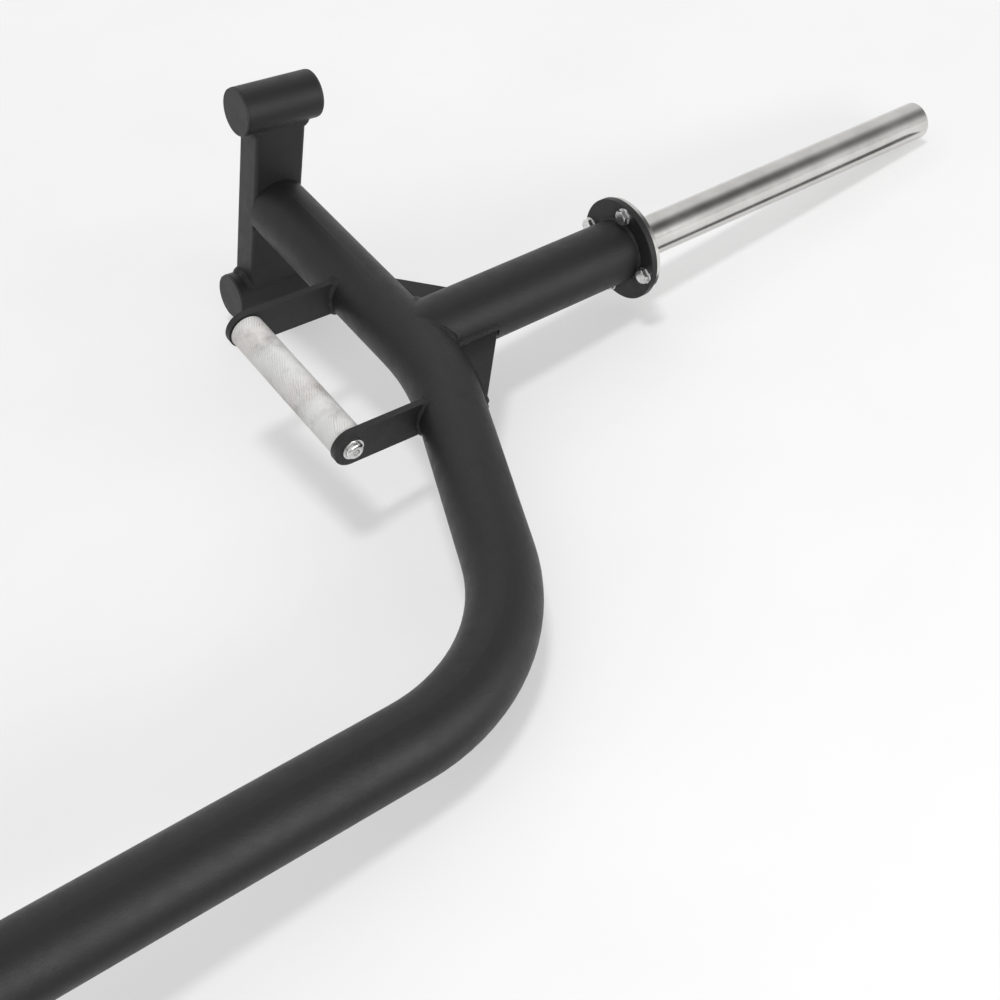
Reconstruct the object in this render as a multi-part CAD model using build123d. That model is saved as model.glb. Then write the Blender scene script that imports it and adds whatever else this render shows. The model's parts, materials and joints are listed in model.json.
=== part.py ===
from build123d import *
import os

# Plate-loaded lever arm of a T-bar row machine, in millimetres.
#
# The arm is built in its own axes: the bent main tube lies in the XY plane, X runs along the
# tube's end section away from the crossbar, Y runs along the weight horn, and X = Y = 0 is where
# the two centre lines cross. Each piece is then laid down as the arm lies on a floor: on the rim
# of its lower boss, the tip of its horn and one corner of its pivot bracket.

# Main tube: end section, first bend, middle section, second bend, long section back to the pivot
TUBE_OD = 76.1
TUBE_WALL = 3.2
BEND_1_X = 57.5
BEND_1_ANGLE = 22.5
BEND_1_RADIUS = 300
MIDDLE_LENGTH = 409
BEND_2_RADIUS = 213
PIVOT_Y = -880

# How far the crossbar, and the lugs with their grip, are turned about the end section's centre line
CROSSBAR_ROLL = -4.7
LUG_ROLL = -2.5

# Crossbar, a rectangular hollow section, and its two bosses
BAR_THICK = 40
BAR_WIDTH = 65
BAR_WALL = 4
BAR_CORNER = 5
BAR_X = -296
BOSS_HALF_SPREAD = 132
BOSS_OD = 56
BOSS_WALL = 4
BOSS_LENGTH = 95
CAP_RIM = 3
CAP_PLUG = 12
CAP_STEP = 0.6

# Stub tube, bolted flanges, weight horn
FLANGE_Y = 301
FLANGE_OD = 124
FLANGE_THICK = 8
HORN_FLANGE_OD = 120
HORN_FLANGE_THICK = 6
COLLAR_OD = 77
COLLAR_LENGTH = 11
HORN_OD = 48.3
HORN_WALL = 4
SPIGOT_OD = 46
HORN_TIP_Y = 813
HORN_CAP_THICK = 6
BOLT_CIRCLE = 102
BOLT_COUNT = 4
BOLT_TURN = 2.7
BOLT_OD = 10
BOLT_HOLE = 11
BOLT_HEAD_ACROSS = 16
BOLT_HEAD_HEIGHT = 6.4
WASHER_OD = 20
WASHER_THICK = 2

# Gussets, flat plates in the tube's plane between the main tube and the stub
GUSSET_THICK = 8
GUSSET_ON_STUB = 94
INNER_GUSSET_X = -97
OUTER_GUSSET_X = 128
OUTER_GUSSET_Y = 12

# Revolving grip between two lugs
LUG_THICK = 8
LUG_HALF_HEIGHT = 22
REAR_LUG_FACE_X = -102
FRONT_LUG_FACE_X = 102
GRIP_Y = -146
GRIP_OD = 40
GRIP_WALL = 3
GRIP_END_GAP = 0.5
GRIP_AXLE_OD = 20
GRIP_BUSH_LENGTH = 25
SCREW_OD = 12
SCREW_DEPTH = 30
SCREW_FLANGE_OD = 25
SCREW_FLANGE_THICK = 2
SCREW_DOME_OD = 20.5
SCREW_DOME_HEIGHT = 5.5
SCREW_SOCKET_ACROSS = 8
SCREW_SOCKET_DEPTH = 3.5

# Pivot hub at the tube's far end, and the bracket that it turns in
HUB_OD = 88.9
HUB_WALL = 5
HUB_LENGTH = 160
PIVOT_BUSH_FLANGE = 4
PIVOT_BUSH_PLUG = 26
PIVOT_AXLE_OD = 30
CHEEK_GAP = 0.5
CHEEK_THICK = 10
CHEEK_RADIUS = 52
BASE_DEPTH = 95
BASE_THICK = 10
BASE_WIDTH = 180
BASE_HEIGHT = 250
BASE_CORNER = 12
BASE_HOLE_SPACING = 120
BASE_HOLE = 13
AXLE_HEAD_ACROSS = 46
AXLE_HEAD_HEIGHT = 14
AXLE_WASHER_OD = 50
AXLE_WASHER_THICK = 4
AXLE_TAIL = 6

# Clearances: a shaft that turns, a piece that only fits inside another, and small edge breaks
RUNNING_GAP = 0.05
SEAT_GAP = 0.05
EDGE = 1

TUBE_R = TUBE_OD / 2
BAR_FACE_X = BAR_X + BAR_THICK / 2
HORN_FLANGE_Y = FLANGE_Y + FLANGE_THICK
COLLAR_Y = HORN_FLANGE_Y + HORN_FLANGE_THICK
HORN_START_Y = COLLAR_Y + COLLAR_LENGTH
HUB_HALF = HUB_LENGTH / 2
CROSSBAR_TURN = Rot(CROSSBAR_ROLL, 0, 0)
LUG_TURN = Rot(LUG_ROLL, 0, 0)
CHEEK_Z = HUB_HALF + PIVOT_BUSH_FLANGE + CHEEK_GAP


def rod(radius, length, at, direction):
    """A solid cylinder that starts at a point and runs along a direction."""
    return extrude(Plane(at, z_dir=direction) * Circle(radius), length)


def ring(outer_radius, inner_radius, length, at, direction):
    """A plain tube that starts at a point and runs along a direction."""
    return extrude(Plane(at, z_dir=direction) * (Circle(outer_radius) - Circle(inner_radius)), length)


def hexagon(across_flats, height, at, direction):
    """A hexagonal prism with its free end chamfered, as a bolt head or nut has."""
    prism = extrude(RegularPolygon(across_flats / 2, 6, major_radius=False), height)
    corner_r = across_flats / 3**0.5
    turned = extrude(Circle(corner_r), height)
    turned = chamfer(turned.edges().sort_by(Axis.Z)[-1], corner_r - across_flats / 2 * 0.97)
    return Plane(at, z_dir=direction) * (prism & turned)


def largest(shape):
    """The biggest solid of a cut shape."""
    return shape.solids().sort_by(SortBy.VOLUME)[-1]


def bend_corners():
    """The centre line's corner points, from the crossbar to the pivot."""
    corner_1 = Vector(BEND_1_X, 0, 0)
    corner_2 = corner_1 + Vector(MIDDLE_LENGTH, 0, 0).rotate(Axis.Z, -BEND_1_ANGLE)
    return [Vector(BAR_FACE_X, 0, 0), corner_1, corner_2, Vector(corner_2.X, PIVOT_Y, 0)]


PIVOT = bend_corners()[-1]


def swept_tube(radius):
    """A solid round bar along the main tube's centre line."""
    path = FilletPolyline(*bend_corners(), radius=[BEND_1_RADIUS, BEND_2_RADIUS])
    return sweep(Plane((BAR_FACE_X, 0, 0), z_dir=(1, 0, 0)) * Circle(radius), path=path)


TUBE_ENVELOPE = swept_tube(TUBE_R)
STUB_ENVELOPE = rod(TUBE_R, FLANGE_Y, (0, 0, 0), (0, 1, 0))
HUB_ENVELOPE = rod(HUB_OD / 2, HUB_LENGTH, PIVOT - Vector(0, 0, HUB_HALF), (0, 0, 1))


def tubes():
    """The bent main tube, coped to the hub, and the stub tube, coped to the main tube."""
    main_tube = largest(TUBE_ENVELOPE - swept_tube(TUBE_R - TUBE_WALL) - HUB_ENVELOPE)
    stub = ring(TUBE_R, TUBE_R - TUBE_WALL, FLANGE_Y, (0, 0, 0), (0, 1, 0))
    return {"main_tube": main_tube, "stub_tube": largest(stub - TUBE_ENVELOPE)}


def crossbar_group():
    """The crossbar with a boss across each end, and a cap in each end of each boss."""
    nodes = {}
    profile = RectangleRounded(BAR_THICK, BAR_WIDTH, BAR_CORNER)
    profile -= RectangleRounded(BAR_THICK - 2 * BAR_WALL, BAR_WIDTH - 2 * BAR_WALL, 1)
    bar = Pos(BAR_X, 0, -BOSS_HALF_SPREAD) * extrude(profile, 2 * BOSS_HALF_SPREAD)
    boss_r = BOSS_OD / 2
    bore_r = boss_r - BOSS_WALL
    for name, side in (("upper", 1), ("lower", -1)):
        height = side * BOSS_HALF_SPREAD
        start = (BAR_X, -BOSS_LENGTH / 2, height)
        bar = largest(bar - rod(boss_r, BOSS_LENGTH, start, (0, 1, 0)))
        nodes[f"{name}_boss"] = ring(boss_r, bore_r, BOSS_LENGTH, start, (0, 1, 0))
        for end, way in (("near", -1), ("far", 1)):
            face = (BAR_X, way * BOSS_LENGTH / 2, height)
            rim = rod(boss_r - CAP_STEP, CAP_RIM, face, (0, way, 0))
            rim = chamfer(rim.edges().sort_by(Axis.Y)[0 if way < 0 else -1], EDGE / 2)
            plug = rod(bore_r - SEAT_GAP, CAP_PLUG, face, (0, -way, 0))
            nodes[f"{name}_boss_{end}_cap"] = rim + plug
    nodes["crossbar"] = bar
    return {name: CROSSBAR_TURN * shape for name, shape in nodes.items()}


def gussets():
    """The two triangular plates in the corners between the main tube and the stub."""
    inner = [(INNER_GUSSET_X, TUBE_R), (-TUBE_R, GUSSET_ON_STUB), (-TUBE_R / 2, GUSSET_ON_STUB),
             (-TUBE_R / 2, 0), (INNER_GUSSET_X, 0)]
    outer = [(OUTER_GUSSET_X, OUTER_GUSSET_Y), (TUBE_R, GUSSET_ON_STUB), (TUBE_R / 2, GUSSET_ON_STUB),
             (TUBE_R / 2, 0), (OUTER_GUSSET_X, 0)]
    nodes = {}
    for name, outline in (("inner_gusset", inner), ("outer_gusset", outer)):
        plate = extrude(Polygon(*outline, align=None), GUSSET_THICK / 2, both=True)
        nodes[name] = largest(plate - TUBE_ENVELOPE - STUB_ENVELOPE)
    return nodes


def bolt_places(y):
    """The flange bolts' centres in the plane at a given y."""
    return [Location((0, y, 0)) * Rotation(0, BOLT_TURN + 360 / BOLT_COUNT * i, 0)
            * Pos(BOLT_CIRCLE / 2, 0, 0) for i in range(BOLT_COUNT)]


def drilled_flange(diameter, thick, y, hole_radius):
    """A round flange across the horn's axis, with its bolt holes and broken edges."""
    disc = rod(diameter / 2, thick, (0, y, 0), (0, 1, 0))
    disc = chamfer(disc.edges(), EDGE / 2)
    for place in bolt_places(y):
        disc -= rod(hole_radius, thick, place.position, (0, 1, 0))
    return disc


def horn_group():
    """The bolted flanges, and the collar, horn tube and end cap on the outer one.

    The horn is turned down to a spigot that passes through the collar and the outer flange.
    """
    spigot_length = HORN_START_Y - HORN_FLANGE_Y
    tapped_r = BOLT_OD / 2 + SEAT_GAP
    bore = rod(SPIGOT_OD / 2 + SEAT_GAP, spigot_length, (0, HORN_FLANGE_Y, 0), (0, 1, 0))
    collar = rod(COLLAR_OD / 2, COLLAR_LENGTH, (0, COLLAR_Y, 0), (0, 1, 0))
    collar = chamfer(collar.edges().sort_by(Axis.Y)[-1], 2 * EDGE)
    horn_bore_r = HORN_OD / 2 - HORN_WALL
    horn = rod(HORN_OD / 2, HORN_TIP_Y - HORN_START_Y, (0, HORN_START_Y, 0), (0, 1, 0))
    horn = fillet(horn.edges().sort_by(Axis.Y)[-1], 1.5 * EDGE)
    horn += rod(SPIGOT_OD / 2, spigot_length, (0, HORN_FLANGE_Y, 0), (0, 1, 0))
    horn -= rod(horn_bore_r, HORN_TIP_Y - HORN_FLANGE_Y, (0, HORN_FLANGE_Y, 0), (0, 1, 0))
    cap = rod(horn_bore_r - SEAT_GAP, HORN_CAP_THICK, (0, HORN_TIP_Y - HORN_CAP_THICK, 0), (0, 1, 0))
    return {
        "stub_flange": drilled_flange(FLANGE_OD, FLANGE_THICK, FLANGE_Y, BOLT_HOLE / 2),
        "horn_flange": drilled_flange(HORN_FLANGE_OD, HORN_FLANGE_THICK, HORN_FLANGE_Y, tapped_r) - bore,
        "horn_collar": collar - bore,
        "weight_horn": horn,
        "horn_end_cap": cap,
    }


def flange_fasteners():
    """Hex bolts and washers on the stub's side, screwed into the tapped outer flange."""
    bolts, washers = [], []
    head_y = FLANGE_Y - WASHER_THICK
    shank_length = COLLAR_Y - head_y
    for place in bolt_places(0):
        x, z = place.position.X, place.position.Z
        head = hexagon(BOLT_HEAD_ACROSS, BOLT_HEAD_HEIGHT, (x, head_y, z), (0, -1, 0))
        shank = rod(BOLT_OD / 2, shank_length, (x, head_y, z), (0, 1, 0))
        bolts.append(head + chamfer(shank.edges().sort_by(Axis.Y)[-1], EDGE))
        washers.append(ring(WASHER_OD / 2, BOLT_HOLE / 2, WASHER_THICK, (x, head_y, z), (0, 1, 0)))
    return {"flange_bolts": bolts, "flange_washers": washers}


def lug(face_x, way):
    """A flat lug with a round end, coped to the main tube; its inner face is at face_x."""
    outline = Pos(GRIP_Y, 0) * Circle(LUG_HALF_HEIGHT)
    outline += Pos(GRIP_Y / 2, 0) * Rectangle(-GRIP_Y, 2 * LUG_HALF_HEIGHT)
    outline -= Pos(GRIP_Y, 0) * Circle(SCREW_OD / 2 + EDGE / 2)
    sheet = Plane((face_x, 0, 0), x_dir=(0, 1, 0), z_dir=(1, 0, 0)) * outline
    plate = LUG_TURN * extrude(sheet, way * LUG_THICK)
    return plate.cut(TUBE_ENVELOPE).solids().sort_by(Axis.Y)[0]


def grip_screw(face_x, way):
    """A flanged button-head screw whose head sits on a lug's outer face."""
    flange = rod(SCREW_FLANGE_OD / 2, SCREW_FLANGE_THICK, (face_x, GRIP_Y, 0), (way, 0, 0))
    dome_start = face_x + way * SCREW_FLANGE_THICK
    dome = rod(SCREW_DOME_OD / 2, SCREW_DOME_HEIGHT, (dome_start, GRIP_Y, 0), (way, 0, 0))
    dome = fillet(dome.edges().sort_by(Axis((0, 0, 0), (way, 0, 0)))[-1], SCREW_DOME_HEIGHT * 0.8)
    shank = rod(SCREW_OD / 2, LUG_THICK + SCREW_DEPTH - EDGE, (face_x, GRIP_Y, 0), (-way, 0, 0))
    socket_start = dome_start + way * (SCREW_DOME_HEIGHT - SCREW_SOCKET_DEPTH)
    socket_plane = Plane((socket_start, GRIP_Y, 0), z_dir=(way, 0, 0))
    socket = extrude(socket_plane * RegularPolygon(SCREW_SOCKET_ACROSS / 2, 6, major_radius=False),
                     SCREW_SOCKET_DEPTH)
    return flange + dome + shank - socket


def grip_group():
    """Two lugs, a fixed axle screwed between them, and a sleeve that turns on two bushes."""
    span = FRONT_LUG_FACE_X - REAR_LUG_FACE_X
    axle = rod(GRIP_AXLE_OD / 2, span, (REAR_LUG_FACE_X, GRIP_Y, 0), (1, 0, 0))
    for start, way in ((REAR_LUG_FACE_X, 1), (FRONT_LUG_FACE_X, -1)):
        axle -= rod(SCREW_OD / 2 + SEAT_GAP, SCREW_DEPTH, (start, GRIP_Y, 0), (way, 0, 0))
    sleeve_bore_r = GRIP_OD / 2 - GRIP_WALL
    sleeve = rod(GRIP_OD / 2, span - 2 * GRIP_END_GAP, (REAR_LUG_FACE_X + GRIP_END_GAP, GRIP_Y, 0),
                 (1, 0, 0))
    sleeve = chamfer(sleeve.edges(), EDGE)
    sleeve -= rod(sleeve_bore_r, span, (REAR_LUG_FACE_X, GRIP_Y, 0), (1, 0, 0))
    nodes = {
        "grip_axle": axle,
        "grip_sleeve": sleeve,
        "grip_screws": [grip_screw(REAR_LUG_FACE_X - LUG_THICK, -1),
                        grip_screw(FRONT_LUG_FACE_X + LUG_THICK, 1)],
    }
    for name, start, way in (("rear_grip_bush", REAR_LUG_FACE_X + GRIP_END_GAP, 1),
                             ("front_grip_bush", FRONT_LUG_FACE_X - GRIP_END_GAP, -1)):
        nodes[name] = ring(sleeve_bore_r - SEAT_GAP, GRIP_AXLE_OD / 2 + RUNNING_GAP, GRIP_BUSH_LENGTH,
                           (start, GRIP_Y, 0), (way, 0, 0))
    turned = {name: [LUG_TURN * piece for piece in shape] if isinstance(shape, list)
              else LUG_TURN * shape for name, shape in nodes.items()}
    return {"rear_lug": lug(REAR_LUG_FACE_X, -1), "front_lug": lug(FRONT_LUG_FACE_X, 1), **turned}


def pivot_hub_group():
    """The hub tube across the arm's far end, with a flanged bush in each mouth."""
    hub = ring(HUB_OD / 2, HUB_OD / 2 - HUB_WALL, HUB_LENGTH, PIVOT - Vector(0, 0, HUB_HALF), (0, 0, 1))
    nodes = {"pivot_hub": hub}
    axle_bore_r = PIVOT_AXLE_OD / 2 + RUNNING_GAP
    for name, way in (("upper_pivot_bush", 1), ("lower_pivot_bush", -1)):
        mouth = PIVOT + Vector(0, 0, way * HUB_HALF)
        rim = rod(HUB_OD / 2 - EDGE, PIVOT_BUSH_FLANGE, mouth, (0, 0, way))
        plug = rod(HUB_OD / 2 - HUB_WALL - SEAT_GAP, PIVOT_BUSH_PLUG, mouth, (0, 0, -way))
        bore = rod(axle_bore_r, HUB_LENGTH, mouth + Vector(0, 0, way * HUB_HALF), (0, 0, -way))
        nodes[name] = rim + plug - bore
    return nodes


def pivot_bracket_group():
    """A base plate with two cheeks, and the axle that holds the hub between them."""
    base_y = PIVOT.Y - BASE_DEPTH
    face = Plane((PIVOT.X, base_y, 0), x_dir=(1, 0, 0), z_dir=(0, 1, 0))
    base = extrude(face * RectangleRounded(BASE_WIDTH, BASE_HEIGHT, BASE_CORNER), BASE_THICK)
    for x in (-1, 1):
        for z in (-1, 1):
            hole = (PIVOT.X + x * BASE_HOLE_SPACING / 2, base_y, z * BASE_HOLE_SPACING / 2)
            base -= rod(BASE_HOLE / 2, BASE_THICK, hole, (0, 1, 0))
    nodes = {"bracket_base": base}
    arm_length = BASE_DEPTH - BASE_THICK
    washers = []
    for name, way in (("upper_cheek", 1), ("lower_cheek", -1)):
        outline = Circle(CHEEK_RADIUS) + Pos(0, -arm_length / 2) * Rectangle(2 * CHEEK_RADIUS, arm_length)
        outline -= Circle(PIVOT_AXLE_OD / 2 + SEAT_GAP)
        inner_face = Pos(PIVOT.X, PIVOT.Y, way * CHEEK_Z)
        nodes[name] = extrude(inner_face * outline, way * CHEEK_THICK)
        washers.append(ring(AXLE_WASHER_OD / 2, PIVOT_AXLE_OD / 2 + SEAT_GAP, AXLE_WASHER_THICK,
                            PIVOT + Vector(0, 0, way * (CHEEK_Z + CHEEK_THICK)), (0, 0, way)))
    outside = CHEEK_Z + CHEEK_THICK + AXLE_WASHER_THICK
    top = PIVOT + Vector(0, 0, outside)
    head = hexagon(AXLE_HEAD_ACROSS, AXLE_HEAD_HEIGHT, top, (0, 0, 1))
    shank_length = 2 * outside + AXLE_HEAD_HEIGHT + AXLE_TAIL
    shank = rod(PIVOT_AXLE_OD / 2, shank_length, top, (0, 0, -1))
    nut_at = PIVOT - Vector(0, 0, outside)
    nut = hexagon(AXLE_HEAD_ACROSS, AXLE_HEAD_HEIGHT, nut_at, (0, 0, -1))
    nodes["pivot_axle"] = head + chamfer(shank.edges().sort_by(Axis.Z)[0], 2 * EDGE)
    nodes["pivot_nut"] = nut - rod(PIVOT_AXLE_OD / 2 + SEAT_GAP, AXLE_HEAD_HEIGHT, nut_at, (0, 0, -1))
    nodes["pivot_washers"] = washers
    return nodes


def rim_low_point(centre, axis, radius, up):
    """The lowest point of a circle that faces along an axis, for a given up direction."""
    return centre - (up - axis * up.dot(axis)).normalized() * radius


def floor_plane():
    """The floor that the arm lies on, in the arm's own axes; its y axis follows the horn."""
    bracket_corner = Vector(PIVOT.X + BASE_WIDTH / 2, PIVOT.Y - BASE_DEPTH, -BASE_HEIGHT / 2)
    boss_end = Vector(BAR_X, BOSS_LENGTH / 2, -BOSS_HALF_SPREAD).rotate(Axis.X, CROSSBAR_ROLL)
    boss_axis = Vector(0, 1, 0).rotate(Axis.X, CROSSBAR_ROLL)
    horn_tip = Vector(0, HORN_TIP_Y, 0)
    up = Vector(0, 0, 1)
    for _ in range(20):
        boss_rim = rim_low_point(boss_end, boss_axis, BOSS_OD / 2, up)
        horn_rim = rim_low_point(horn_tip, Vector(0, 1, 0), HORN_OD / 2, up)
        up = (horn_rim - boss_rim).cross(bracket_corner - boss_rim).normalized()
        up = up if up.Z > 0 else up * -1
    return Plane(bracket_corner, x_dir=Vector(0, 1, 0).cross(up), z_dir=up)


def lay_down(nodes):
    """Every piece as it lies on the floor, with the origin under the middle of the whole arm."""
    floor = floor_plane()
    laid = {name: floor.to_local_coords(shape) for name, shape in nodes.items()}
    box = Compound(list(laid.values())).bounding_box()
    shift = Pos(-(box.min.X + box.max.X) / 2, -(box.min.Y + box.max.Y) / 2, -box.min.Z)
    return {name: shift * shape for name, shape in laid.items()}, shift


def build():
    """Every node in the arm's own axes, by name."""
    nodes = {}
    for group in (tubes, crossbar_group, gussets, horn_group, flange_fasteners, grip_group,
                  pivot_hub_group, pivot_bracket_group):
        nodes.update(group())
    return {name: Compound(shape) if isinstance(shape, list) else shape
            for name, shape in nodes.items()}


os.makedirs("parts", exist_ok=True)
LAID, SHIFT = lay_down(build())
for node, solid in LAID.items():
    export_step(solid, f"parts/{node}.step")
print(len(LAID), "nodes")
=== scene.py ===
import bpy
import json
import math
from mathutils import Matrix, Vector
from mathutils.bvhtree import BVHTree


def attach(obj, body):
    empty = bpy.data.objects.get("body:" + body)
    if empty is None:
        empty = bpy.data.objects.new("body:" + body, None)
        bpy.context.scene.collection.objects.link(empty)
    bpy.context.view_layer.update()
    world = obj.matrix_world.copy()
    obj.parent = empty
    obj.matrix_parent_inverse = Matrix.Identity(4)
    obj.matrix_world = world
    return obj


# The lever arm of a T-bar row, lying on a studio floor. Lengths are in metres.

# The arm's own axes: Y along the horn, Z along the pivot axle and X away from the crossbar, from the
# point where the centre lines of the main tube and the stub cross. The middle of the horn's bare
# length lies this far along Y
HORN_MIDDLE = 0.5695

# Where the camera stands and looks, and which way is up in its view, in the arm's own axes
CAMERA_AT = Vector((1.0754, -0.7810, 1.2161))
CAMERA_AIM = Vector((0.2457, -0.0565, 0.0))
CAMERA_TOP = Vector((-0.6259, 0.4035, 0.6674))
SENSOR = 36.0
LENS = 58.21

# Where two pieces touch: faces this close that look at each other this squarely are in contact, and
# corners that agree to this many decimals are one corner
CONTACT_GAP = 0.0006
CONTACT_FACING = -0.8
CORNER_DECIMALS = 5

# Weld beads: a fillet runs round the edge of a contact, in stations one step apart, with the run's
# corners rounded off in a few passes
BEAD_STEP = 0.0010
FEWEST_STATIONS = 12
ROUNDING_PASSES = 4
SHORTEST_RUN = 1e-9

# A bead's section: points across its face, how deep the hidden root lies, how far the toes sink in,
# and how full the face is, as a share of the leg
BEAD_POINTS = 7
BEAD_ROOT = 0.0016
BEAD_SINK = 0.0003
BEAD_FULLNESS = 0.67

# How the face ripples along the run, how the leg wanders, and the angle above which an edge is sharp
RIPPLE_PITCH = 0.0034
RIPPLE_DEPTH = 0.085
RIPPLE_SHIFT = 1.5
LEG_WANDER = 0.13
WANDER_PITCHES = (0.031, 0.013)
TOE_ANGLE = math.radians(55)

# A leg has its full width where the pieces open this far (1 is square, 0 is flat), and less on
# flatter openings, down to the narrowest share
FULL_OPENING = 0.75
NARROWEST = 0.22

# The legs, and each weld: the piece that stands on the other, the other, their body, and the leg
FULL_LEG = 0.0060
PLATE_LEG = 0.0042
FLANGE_LEG = 0.0029
WELDS = [
    ("main_tube", "crossbar", "arm", FULL_LEG),
    ("crossbar", "upper_boss", "arm", FULL_LEG),
    ("crossbar", "lower_boss", "arm", FULL_LEG),
    ("stub_tube", "main_tube", "arm", FULL_LEG),
    ("stub_tube", "stub_flange", "arm", FLANGE_LEG),
    ("inner_gusset", "main_tube", "arm", PLATE_LEG),
    ("inner_gusset", "stub_tube", "arm", PLATE_LEG),
    ("outer_gusset", "main_tube", "arm", PLATE_LEG),
    ("outer_gusset", "stub_tube", "arm", PLATE_LEG),
    ("rear_lug", "main_tube", "arm", PLATE_LEG),
    ("front_lug", "main_tube", "arm", PLATE_LEG),
    ("main_tube", "pivot_hub", "arm", FULL_LEG),
    ("upper_cheek", "bracket_base", "pivot_bracket", FULL_LEG),
    ("lower_cheek", "bracket_base", "pivot_bracket", FULL_LEG),
]

# The grip's knurling: how many cuts there are round it, how far apart they are along it, and how
# many radians of noise shake them
KNURL_STARTS = 38
KNURL_PITCH = 0.0053
KNURL_SHAKE = 9.0

# Dark and light tones of the two paints, and how high the metal's lumps stand under a weld's paint
FRAME_TONES = ((0.0085, 0.0085, 0.0087), (0.015, 0.015, 0.0152))
FRAME_ROUGHNESS = 0.43
CAP_TONES = ((0.022, 0.022, 0.022), (0.034, 0.034, 0.0345))
CAP_ROUGHNESS = 0.52
WELD_LUMPS = 0.0016

# The floor: half its side, its grey and how much lighter that drifts, and a faint glow that keeps
# it pale
FLOOR_HALF = 6.0
FLOOR_GREY = 0.40
FLOOR_DRIFT = 0.02
FLOOR_GLOW = 0.38

# The studio dome: its strength, which way its dark patch lies in the arm's own axes, and pairs of
# the cosine of the angle from that patch and the brightness there
DOME_STRENGTH = 0.77
DARK_PATCH = (0.20, 0.45, 0.87)
SKY = [(0.0, 1.00), (0.80, 1.00), (0.87, 0.74), (0.93, 0.42), (0.975, 0.18), (1.0, 0.12)]

# Soft boxes, in the arm's own axes: name, place, aim, width, height, watts
SOFT_BOXES = [
    ("side_strip", (2.6, 0.3, 1.35), (0.2, 0.0, 0.0), 2.8, 0.45, 56),
    ("back_strip", (-2.6, 0.6, 1.6), (0.0, 0.0, 0.0), 2.2, 0.6, 8),
]

# The overhead key that throws the shadows: where it shines from in the row's frame, its strength,
# and how wide it looks
KEY_FROM = (0.0, 0.0, 1.0)
KEY_STRENGTH = 1.4
KEY_WIDTH = math.radians(12)

# Dark cards beside the horn, the stub and the long tube: painted shade that stands in for the floor's
# shadow there and only shows in reflections. How far they lie above the floor, their tones, and their
# corners along the arm's own X and Y
CARD_LIFT = 0.002
SHADE_CARD_TONES = ((0.10, 0.10, 0.10), (0.13, 0.13, 0.13))
SHADE_CARDS = {
    "horn_shade_card": [(0.050, 0.33), (0.092, 0.33), (0.068, 0.82), (0.038, 0.82)],
    "stub_shade_card": [(0.11, 0.10), (0.24, 0.10), (0.19, 0.31), (0.09, 0.31)],
    "tube_shade_card": [(0.55, -0.85), (0.90, -0.85), (0.85, 0.0), (0.53, -0.05)],
}

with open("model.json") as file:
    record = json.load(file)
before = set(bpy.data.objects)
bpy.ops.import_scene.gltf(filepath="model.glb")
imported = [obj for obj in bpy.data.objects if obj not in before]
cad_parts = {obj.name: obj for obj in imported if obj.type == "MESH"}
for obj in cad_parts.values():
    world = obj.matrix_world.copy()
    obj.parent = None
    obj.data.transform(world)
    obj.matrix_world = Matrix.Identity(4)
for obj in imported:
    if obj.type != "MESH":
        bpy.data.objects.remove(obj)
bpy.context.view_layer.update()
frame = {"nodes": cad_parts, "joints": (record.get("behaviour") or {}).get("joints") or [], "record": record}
nodes = frame["nodes"]
record = frame["record"]


def arm_axes():
    """The matrix that takes the arm's own axes to the row's frame."""
    horn = next(m for m in record["mounts"] if m["name"] == "weight_horn")
    pivot = next(j for j in frame["joints"] if j["name"] == "arm_pivot")
    y = Vector(horn["axis"]).normalized()
    z = Vector(pivot["axis"]).normalized()
    x = y.cross(z).normalized()
    origin = Vector(horn["pos_m"]) - y * HORN_MIDDLE
    turned = Matrix((x, y, z)).transposed().to_4x4()
    turned.translation = origin
    return turned


ARM = arm_axes()


# ---------------------------------------------------------------- materials

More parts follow.
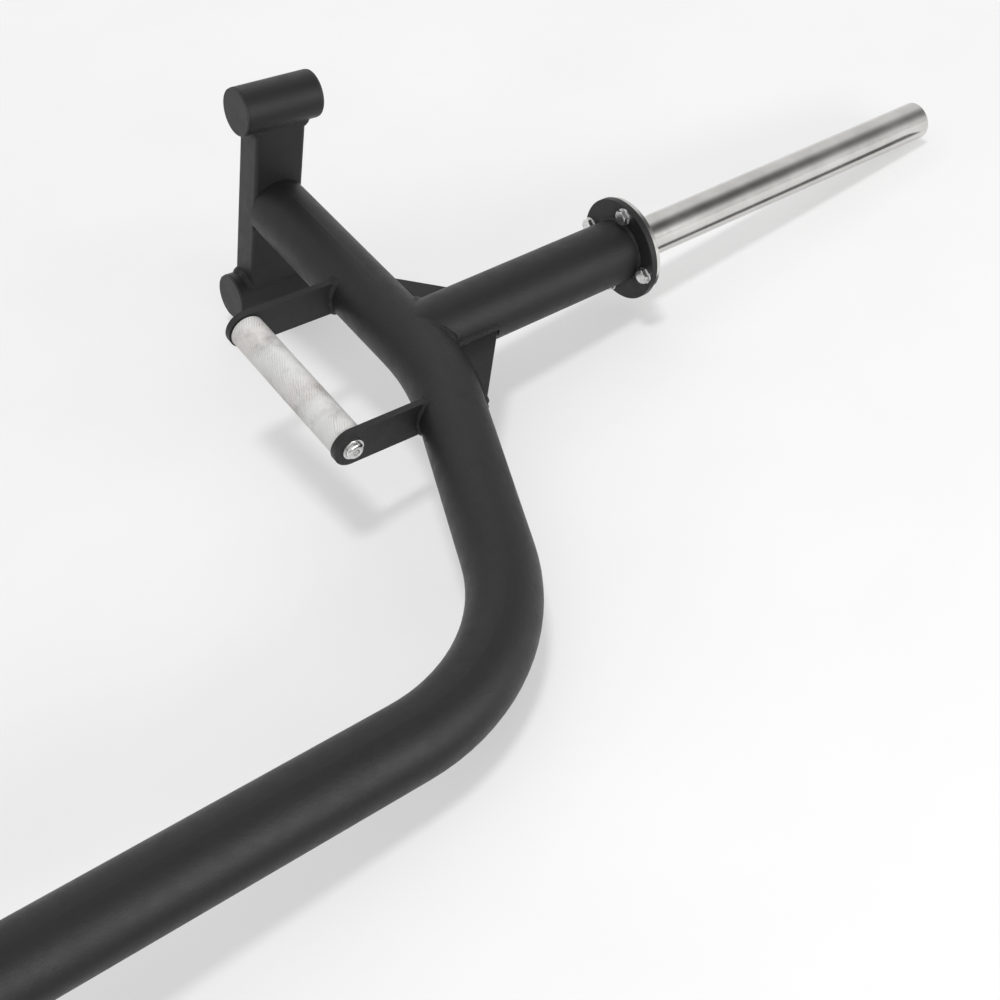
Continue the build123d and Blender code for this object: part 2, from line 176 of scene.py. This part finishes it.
class Nodes:
    """A short way to build one material's node tree."""

    def __init__(self, name):
        self.material = bpy.data.materials.new(name)
        self.material.use_nodes = True
        self.tree = self.material.node_tree
        self.shader = self.tree.nodes["Principled BSDF"]
        self.place = self.add("ShaderNodeTexCoord").outputs["Object"]

    def add(self, kind, **settings):
        node = self.tree.nodes.new(kind)
        for key, value in settings.items():
            setattr(node, key, value)
        return node

    def join(self, source, target):
        self.tree.links.new(source, target)

    def noise(self, scale, detail=3.0, roughness=0.55, place=None):
        node = self.add("ShaderNodeTexNoise")
        node.inputs["Scale"].default_value = scale
        node.inputs["Detail"].default_value = detail
        node.inputs["Roughness"].default_value = roughness
        self.join(place or self.place, node.inputs["Vector"])
        return node.outputs["Fac"]

    def stretched(self, direction_scale):
        """Coordinates in the arm's own axes, scaled along each of them."""
        node = self.add("ShaderNodeMapping", vector_type="TEXTURE")
        node.inputs["Rotation"].default_value = ARM.to_euler()
        scale = self.add("ShaderNodeVectorMath", operation="MULTIPLY")
        scale.inputs[1].default_value = direction_scale
        self.join(self.place, node.inputs["Vector"])
        self.join(node.outputs["Vector"], scale.inputs[0])
        return scale.outputs["Vector"]

    def ramp(self, source, low, high, start=0.3, end=0.7):
        """Values or colours from low to high as the source goes from start to end."""
        node = self.add("ShaderNodeMapRange")
        node.inputs["From Min"].default_value = start
        node.inputs["From Max"].default_value = end
        node.inputs["To Min"].default_value = low
        node.inputs["To Max"].default_value = high
        self.join(source, node.inputs["Value"])
        return node.outputs["Result"]

    def colours(self, source, first, second, start=0.3, end=0.7):
        node = self.add("ShaderNodeValToRGB")
        node.color_ramp.elements[0].position = start
        node.color_ramp.elements[0].color = (*first, 1)
        node.color_ramp.elements[1].position = end
        node.color_ramp.elements[1].color = (*second, 1)
        self.join(source, node.inputs["Fac"])
        return node.outputs["Color"]

    def mix_colours(self, fac, first, second):
        node = self.add("ShaderNodeMix", data_type="RGBA")
        self.join(fac, node.inputs["Factor"])
        self.join(first, node.inputs["A"])
        self.join(second, node.inputs["B"])
        return node.outputs["Result"]

    def maths(self, operation, first, second=None):
        """One step of arithmetic; each input is a socket or a number."""
        node = self.add("ShaderNodeMath", operation=operation)
        for socket, value in zip(node.inputs, (first, second)):
            if isinstance(value, (int, float)):
                socket.default_value = value
            elif value is not None:
                self.join(value, socket)
        return node.outputs[0]

    def bump(self, height, distance, strength=1.0, under=None):
        node = self.add("ShaderNodeBump")
        node.inputs["Distance"].default_value = distance
        node.inputs["Strength"].default_value = strength
        self.join(height, node.inputs["Height"])
        if under:
            self.join(under, node.inputs["Normal"])
        return node.outputs["Normal"]

    def fixed(self, **values):
        """Constant values, set on the shader's own sockets."""
        for name, value in values.items():
            self.shader.inputs[name.replace("_", " ")].default_value = value

    def drive(self, socket, source):
        self.join(source, self.shader.inputs[socket])


def powder_coat(name, tones, roughness, lumps=0.0):
    """Satin black powder coat: a fine grain, a slow drift in tone, and faint orange peel.

    Over a weld the metal below is lumpy; lumps is how high those lumps stand.
    """
    n = Nodes(name)
    dark, light = tones
    grain = n.noise(1500, detail=2)
    tone = n.noise(9, detail=4)
    n.drive("Base Color", n.mix_colours(n.ramp(grain, 0.0, 1.0, start=0.35, end=0.65),
                                        n.colours(tone, dark, light),
                                        n.colours(tone, light, dark)))
    n.drive("Roughness", n.ramp(n.noise(60), roughness - 0.05, roughness + 0.06))
    surface = n.bump(n.noise(300, detail=2), distance=0.0006, strength=0.35)
    if lumps:
        surface = n.bump(n.noise(420, detail=3, roughness=0.7), distance=lumps, under=surface)
    n.drive("Normal", n.bump(grain, distance=0.0004, strength=0.8, under=surface))
    n.fixed(Specular_IOR_Level=0.32)
    return n.material


def hard_chrome():
    """Chromed tube: fine hoop marks from polishing, sliding wear along it, and smudges."""
    n = Nodes("hard_chrome")
    hoops = n.noise(1.0, detail=4, place=n.stretched((60, 2600, 60)))
    slides = n.noise(1.0, detail=3, place=n.stretched((900, 14, 900)))
    smudge = n.noise(22, detail=5)
    n.drive("Base Color", n.colours(smudge, (0.60, 0.59, 0.57), (0.74, 0.73, 0.71)))
    wear = n.ramp(slides, 0.0, 0.07, start=0.5, end=0.75)
    n.drive("Roughness", n.maths("ADD", n.ramp(smudge, 0.13, 0.21), wear))
    n.drive("Normal", n.bump(hoops, distance=0.00006, strength=0.3))
    n.fixed(Metallic=1.0)
    return n.material


def worn_zinc_grip():
    """Dull zinc over fine helical knurling that hands have rubbed smooth in places."""
    n = Nodes("worn_zinc_grip")
    spin = next(j for j in frame["joints"] if j["name"] == "grip_spin")
    own = n.add("ShaderNodeMapping", vector_type="TEXTURE")
    own.inputs["Location"].default_value = spin["pos_m"]
    own.inputs["Rotation"].default_value = ARM.to_euler()
    apart = n.add("ShaderNodeSeparateXYZ")
    n.join(n.place, own.inputs["Vector"])
    n.join(own.outputs["Vector"], apart.inputs["Vector"])
    around = n.maths("ARCTAN2", apart.outputs["Z"], apart.outputs["Y"])
    wound = n.maths("MULTIPLY", around, KNURL_STARTS)
    along = n.maths("MULTIPLY", apart.outputs["X"], 2 * math.pi / KNURL_PITCH)
    shaky = n.maths("MULTIPLY", n.noise(160, detail=2), KNURL_SHAKE)
    cuts = n.maths("SINE", n.maths("ADD", n.maths("SUBTRACT", wound, along), shaky))
    stains = n.noise(34, detail=6, roughness=0.6)
    worn = n.ramp(n.noise(24, detail=4), 0.05, 1.0, start=0.42, end=0.62)
    depth = n.maths("MULTIPLY", n.ramp(cuts, 0.0, 1.0, start=0.0, end=1.0), worn)
    speck = n.noise(420, detail=3)
    body = n.colours(stains, (0.27, 0.265, 0.26), (0.60, 0.60, 0.59), start=0.30, end=0.52)
    warm = n.colours(n.noise(16, detail=3), (0.56, 0.505, 0.465), (0.58, 0.58, 0.575),
                     start=0.38, end=0.6)
    metal = n.mix_colours(n.ramp(speck, 0.15, 0.6), body, warm)
    # The knurl's cuts are coloured darker than the metal round them, less so where hands have worn them
    # smooth
    cut_colour = n.colours(speck, (0.16, 0.155, 0.15), (0.26, 0.255, 0.25))
    n.drive("Base Color", n.mix_colours(n.maths("MULTIPLY", depth, 0.45), metal, cut_colour))
    n.drive("Roughness", n.ramp(stains, 0.58, 0.42))
    pits = n.bump(speck, distance=0.0002, strength=0.4)
    height = n.maths("SUBTRACT", 1.0, depth)
    n.drive("Normal", n.bump(height, distance=0.0003, strength=0.7, under=pits))
    n.fixed(Metallic=0.25)
    return n.material


def plated(name, dark, light, smooth, rough):
    """Plated or turned steel fixings, with tool marks and a little dulling."""
    n = Nodes(name)
    dulling = n.noise(170, detail=4)
    marks = n.noise(1.0, detail=3, place=n.stretched((1800, 300, 1800)))
    n.drive("Base Color", n.colours(dulling, dark, light))
    n.drive("Roughness", n.ramp(dulling, rough, smooth))
    n.drive("Normal", n.bump(marks, distance=0.0001, strength=0.35))
    n.fixed(Metallic=1.0)
    return n.material


def moulded_nylon():
    """Black nylon bushes with a faint moulded texture."""
    n = Nodes("moulded_nylon")
    texture = n.noise(900, detail=2)
    n.drive("Base Color", n.colours(n.noise(40), (0.010, 0.010, 0.011), (0.020, 0.020, 0.021)))
    n.drive("Roughness", n.ramp(texture, 0.5, 0.65))
    n.drive("Normal", n.bump(texture, distance=0.0002, strength=0.3))
    return n.material


MATERIALS = {
    "frame_paint": powder_coat("frame_paint", FRAME_TONES, FRAME_ROUGHNESS),
    "weld_paint": powder_coat("weld_paint", FRAME_TONES, FRAME_ROUGHNESS, lumps=WELD_LUMPS),
    "cap_paint": powder_coat("cap_paint", CAP_TONES, CAP_ROUGHNESS),
    "horn_chrome": hard_chrome(),
    "grip_zinc": worn_zinc_grip(),
    "bright_zinc": plated("bright_zinc", (0.62, 0.62, 0.62), (0.82, 0.82, 0.81), 0.16, 0.32),
    "axle_steel": plated("axle_steel", (0.38, 0.38, 0.38), (0.52, 0.52, 0.52), 0.3, 0.45),
    "bush_plastic": moulded_nylon(),
}


def paint_nodes():
    """Gives every carried-over piece the finish that the record names for it."""
    for entry in record["subparts"]:
        mesh = nodes[entry["node"]].data
        mesh.materials.clear()
        mesh.materials.append(MATERIALS[entry["material_slot"]])


# ---------------------------------------------------------------- weld beads

def tree_of(node):
    mesh = nodes[node].data
    return BVHTree.FromPolygons([v.co for v in mesh.vertices], [p.vertices for p in mesh.polygons])


def contact_edges(touching, touched):
    """Directed edges round the patches of one node that lie on another, from each start corner.

    With an edge's end come two unit vectors square to it: up the touching piece, and out over the
    other.
    """
    mesh = nodes[touching].data
    other = tree_of(touched)
    on_patch, off_patch = {}, {}
    for face in mesh.polygons:
        spot, normal, _, gap = other.find_nearest(face.center)
        near = spot is not None and gap < CONTACT_GAP
        lies_on = near and normal.dot(face.normal) < CONTACT_FACING
        corners = [tuple(round(c, CORNER_DECIMALS) for c in mesh.vertices[i].co)
                   for i in face.vertices]
        for start, end in zip(corners, corners[1:] + corners[:1]):
            if start != end:
                (on_patch if lies_on else off_patch)[start, end] = face.normal.copy()
    edges = {}
    for (start, end), patch_normal in on_patch.items():
        if (end, start) in on_patch:
            continue
        along = (Vector(end) - Vector(start)).normalized()
        out = along.cross(patch_normal).normalized()
        wall_normal = off_patch.get((end, start))
        up = wall_normal.cross(-along).normalized() if wall_normal else -patch_normal
        edges.setdefault(start, []).append((end, up, out))
    return edges


def contact_loops(touching, touched):
    """Closed loops of (point, up, out) round each patch of one node that lies on another."""
    edges = contact_edges(touching, touched)
    loops = []
    while edges:
        first = min(edges)
        loop, here = [], first
        while edges.get(here):
            after, up, out = edges[here].pop()
            if not edges[here]:
                del edges[here]
            loop.append((Vector(here), up, out))
            here = after
            if here == first:
                break
        if len(loop) > 3 and here == first:
            loops.append(loop)
    return loops


def length_of(loop):
    places = [corner[0] for corner in loop]
    return sum((b - a).length for a, b in zip(places, places[1:] + places[:1]))


def rounded(before, here, after):
    """A station moved and turned a little towards its two neighbours."""
    return tuple((a + b * 2 + c) / 4 for a, b, c in zip(before, here, after))


def even_steps(loop, step):
    """The same closed loop with stations at even distances, its corners slightly rounded."""
    total = length_of(loop)
    count = max(FEWEST_STATIONS, round(total / step))
    runs = list(zip(loop, loop[1:] + loop[:1]))
    stations, walked, index = [], 0.0, 0
    for i in range(count):
        target = total * i / count
        while walked + (runs[index][1][0] - runs[index][0][0]).length < target:
            walked += (runs[index][1][0] - runs[index][0][0]).length
            index += 1
        start, end = runs[index]
        share = (target - walked) / max((end[0] - start[0]).length, SHORTEST_RUN)
        stations.append((start[0].lerp(end[0], share), start[1], start[2]))
    for _ in range(ROUNDING_PASSES):
        stations = [rounded(stations[i - 1], stations[i], stations[(i + 1) % count])
                    for i in range(count)]
    return stations


def bead_section(point, up, out, leg, fullness):
    """Points across one station of a fillet: its face from toe to toe, then the hidden root."""
    sink = (up + out) * BEAD_SINK
    low, high = point + out * leg, point + up * leg
    crown = point + (up + out) * leg * fullness
    section = []
    for k in range(BEAD_POINTS):
        t = k / (BEAD_POINTS - 1)
        section.append(low * (1 - t) ** 2 + crown * 2 * t * (1 - t) + high * t ** 2)
    section[0] = section[0] - up * BEAD_SINK
    section[-1] = section[-1] - out * BEAD_SINK
    section.append(point - (up + out) * BEAD_ROOT - sink)
    return section


def bead(name, loop, body, leg):
    """A rippled fillet weld along a closed loop."""
    stations = even_steps(loop, BEAD_STEP)
    count = len(stations)
    length = length_of(stations)
    ripples = max(1, round(length / RIPPLE_PITCH))
    wanders = [max(1, round(length / pitch)) for pitch in WANDER_PITCHES]
    across = BEAD_POINTS + 1
    vertices = []
    for i, (point, up, out) in enumerate(stations):
        up, out = up.normalized(), out.normalized()
        turn = 2 * math.pi * i / count
        wander = sum(math.sin(turn * cycles + cycles) for cycles in wanders) / len(wanders)
        ripple = math.sin(turn * ripples + RIPPLE_SHIFT * wander)
        opening = 1 + up.dot(out)
        width = leg * (1 + LEG_WANDER * wander) * min(1, max(NARROWEST, opening / FULL_OPENING))
        fullness = BEAD_FULLNESS + RIPPLE_DEPTH * ripple
        vertices += bead_section(point, up, out, width, fullness)
    faces = []
    for i in range(count):
        here, after = i * across, (i + 1) % count * across
        for k in range(across):
            step = (k + 1) % across
            faces.append((here + k, here + step, after + step, after + k))
    mesh = bpy.data.meshes.new(name)
    mesh.from_pydata(vertices, [], faces)
    mesh.shade_smooth()
    mesh.set_sharp_from_angle(angle=TOE_ANGLE)
    mesh.materials.append(MATERIALS["weld_paint"])
    piece = bpy.data.objects.new(name, mesh)
    bpy.context.scene.collection.objects.link(piece)
    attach(piece, body)


def weld_beads():
    """One bead at each welded joint, along the longest edge of the contact."""
    for touching, touched, body, leg in WELDS:
        longest = max(contact_loops(touching, touched), key=length_of)
        bead(f"weld_{touching}_to_{touched}", longest, body, leg)


# ---------------------------------------------------------------- studio

def studio_floor():
    """A wide pale floor with a barely uneven matt surface."""
    mesh = bpy.data.meshes.new("studio_floor")
    corners = [(x * FLOOR_HALF, y * FLOOR_HALF, 0) for x, y in ((-1, -1), (1, -1), (1, 1), (-1, 1))]
    mesh.from_pydata(corners, [], [(0, 1, 2, 3)])
    n = Nodes("studio_floor")
    grey = [(shade,) * 3 for shade in (FLOOR_GREY, FLOOR_GREY + FLOOR_DRIFT)]
    n.drive("Base Color", n.colours(n.noise(3), *grey))
    n.drive("Roughness", n.ramp(n.noise(40), 0.85, 0.95))
    n.fixed(Specular_IOR_Level=0.1, Emission_Color=(1, 1, 1, 1), Emission_Strength=FLOOR_GLOW)
    mesh.materials.append(n.material)
    floor = bpy.data.objects.new("studio_floor", mesh)
    bpy.context.scene.collection.objects.link(floor)


def soft_box(name, at, aim, width, height, power):
    """A rectangular studio light at one point, turned towards another, in the arm's own axes."""
    light = bpy.data.lights.new(name, "AREA")
    light.shape = "RECTANGLE"
    light.size = width
    light.size_y = height
    light.energy = power
    lamp = bpy.data.objects.new(name, light)
    lamp.location = ARM @ Vector(at)
    lamp.rotation_mode = "QUATERNION"
    lamp.rotation_quaternion = (ARM @ Vector(aim) - lamp.location).to_track_quat("-Z", "Y")
    bpy.context.scene.collection.objects.link(lamp)


def overhead_key():
    """A wide soft light from above that throws the shadows and leaves no glare on the paint."""
    light = bpy.data.lights.new("overhead_key", "SUN")
    light.energy = KEY_STRENGTH
    light.angle = KEY_WIDTH
    lamp = bpy.data.objects.new("overhead_key", light)
    lamp.rotation_mode = "QUATERNION"
    lamp.rotation_quaternion = (-Vector(KEY_FROM)).to_track_quat("-Z", "Y")
    lamp.visible_glossy = False
    bpy.context.scene.collection.objects.link(lamp)


def painted_shade_cards():
    """Dark cards on the floor, painted shade standing in for the floor's shadow beside the tubes, that put
    dark bands in the tubes' reflections and show nowhere else.
    """
    n = Nodes("painted_shade_card")
    n.drive("Base Color", n.colours(n.noise(30), *SHADE_CARD_TONES))
    n.fixed(Roughness=0.9, Specular_IOR_Level=0.05)
    for name, corners in SHADE_CARDS.items():
        places = [ARM @ Vector((x, y, 0)) for x, y in corners]
        mesh = bpy.data.meshes.new(name)
        mesh.from_pydata([(p.x, p.y, CARD_LIFT) for p in places], [], [(0, 1, 2, 3)])
        mesh.materials.append(n.material)
        card = bpy.data.objects.new(name, mesh)
        bpy.context.scene.collection.objects.link(card)
        card.visible_camera = False
        card.visible_diffuse = False
        card.visible_shadow = False


def studio_light():
    """A pale dome with a dim patch, a soft strip on each side, the overhead key and the painted shade cards.
    """
    world = bpy.data.worlds.new("studio")
    bpy.context.scene.world = world
    world.use_nodes = True
    tree = world.node_tree
    background = tree.nodes["Background"]
    place = tree.nodes.new("ShaderNodeTexCoord")
    closeness = tree.nodes.new("ShaderNodeVectorMath")
    closeness.operation = "DOT_PRODUCT"
    closeness.inputs[1].default_value = (ARM.to_3x3() @ Vector(DARK_PATCH)).normalized()
    ramp = tree.nodes.new("ShaderNodeValToRGB")
    tree.links.new(place.outputs["Generated"], closeness.inputs[0])
    tree.links.new(closeness.outputs["Value"], ramp.inputs["Fac"])
    tree.links.new(ramp.outputs["Color"], background.inputs["Color"])
    for i, (near, grey) in enumerate(SKY):
        stop = ramp.color_ramp.elements[i] if i < 2 else ramp.color_ramp.elements.new(near)
        stop.position = near
        stop.color = (grey, grey, grey, 1)
    background.inputs["Strength"].default_value = DOME_STRENGTH
    for name, at, aim, width, height, power in SOFT_BOXES:
        soft_box(name, at, aim, width, height, power)
    overhead_key()
    painted_shade_cards()


def studio_camera():
    camera = bpy.data.objects.new("camera", bpy.data.cameras.new("camera"))
    camera.data.sensor_width = SENSOR
    camera.data.lens = LENS
    forward = (CAMERA_AIM - CAMERA_AT).normalized()
    right = forward.cross(CAMERA_TOP).normalized()
    up = right.cross(forward)
    turned = Matrix((right, up, -forward)).transposed().to_4x4()
    turned.translation = CAMERA_AT
    camera.matrix_world = ARM @ turned
    bpy.context.scene.collection.objects.link(camera)
    bpy.context.scene.camera = camera


paint_nodes()
weld_beads()
studio_floor()
studio_light()
studio_camera()
bpy.context.scene.view_settings.view_transform = "Standard"
bpy.context.view_layer.update()
